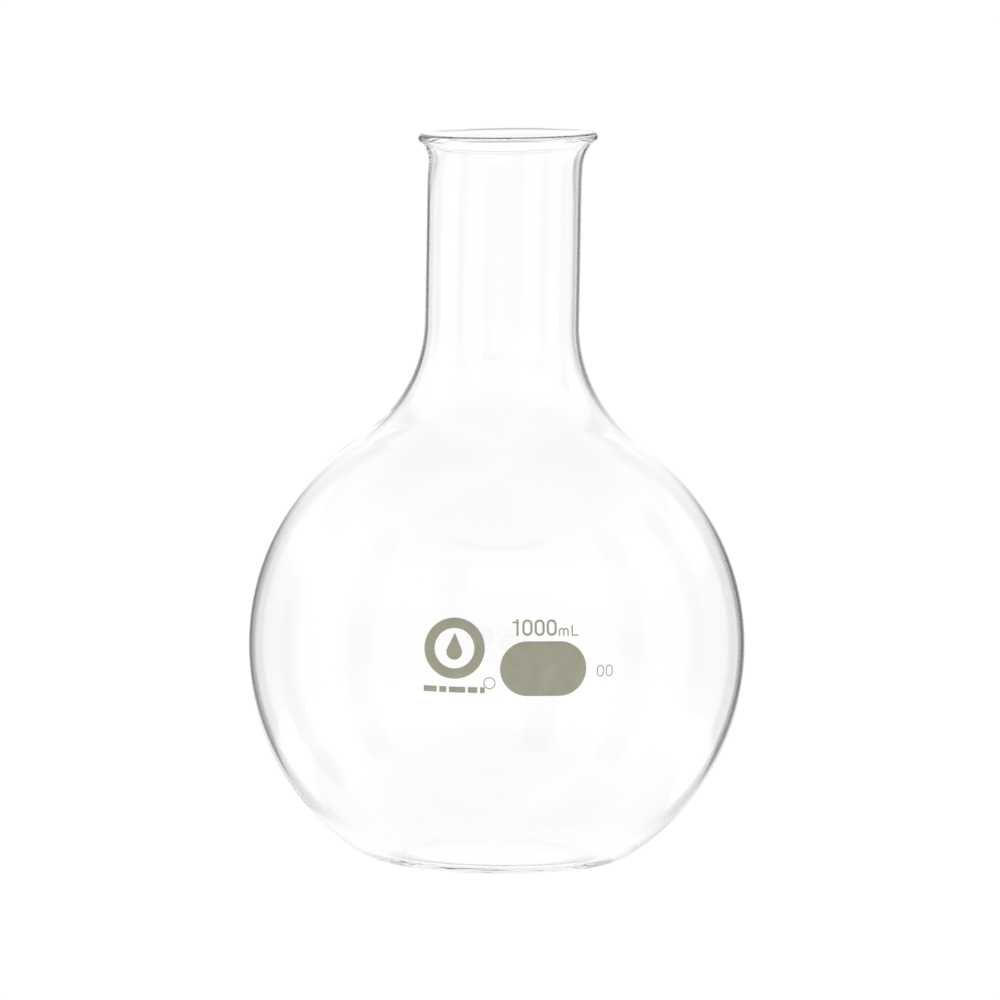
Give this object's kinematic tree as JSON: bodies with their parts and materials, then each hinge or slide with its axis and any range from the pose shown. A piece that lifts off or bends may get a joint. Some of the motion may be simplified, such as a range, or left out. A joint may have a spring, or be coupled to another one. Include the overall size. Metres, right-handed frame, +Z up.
{
  "type": "flat-bottom boiling flask",
  "caption": "Round-bulbed laboratory flask in clear blown glass with a straight neck, a flared rim, a flat bottom and enamel marks on the front.",
  "frame": {"origin": "on the flask's axis, in the plane it stands on", "axes": "+Z up along the flask's axis, from the flat bottom to the mouth; the enamel marks are on the -Y side, and +X is to the right of a reader facing them"},
  "size_m": [0.131, 0.1311, 0.191],
  "materials": {
    "glass": "clear, fire-polished borosilicate glass",
    "enamel": "fired grey-beige enamel, satin"
  },
  "bodies": {
    "root": {"flask_glass": "glass", "writing_panel": "enamel", "emblem_disc": "enamel", "emblem_drop": "enamel", "capacity_one": "enamel", "capacity_zero_1": "enamel", "capacity_zero_2": "enamel", "capacity_zero_3": "enamel", "unit_m": "enamel", "unit_l": "enamel", "rule_blocks": "enamel", "small_ring": "enamel", "batch_mark_1": "enamel", "batch_mark_2": "enamel"}
  },
  "joints": []
}
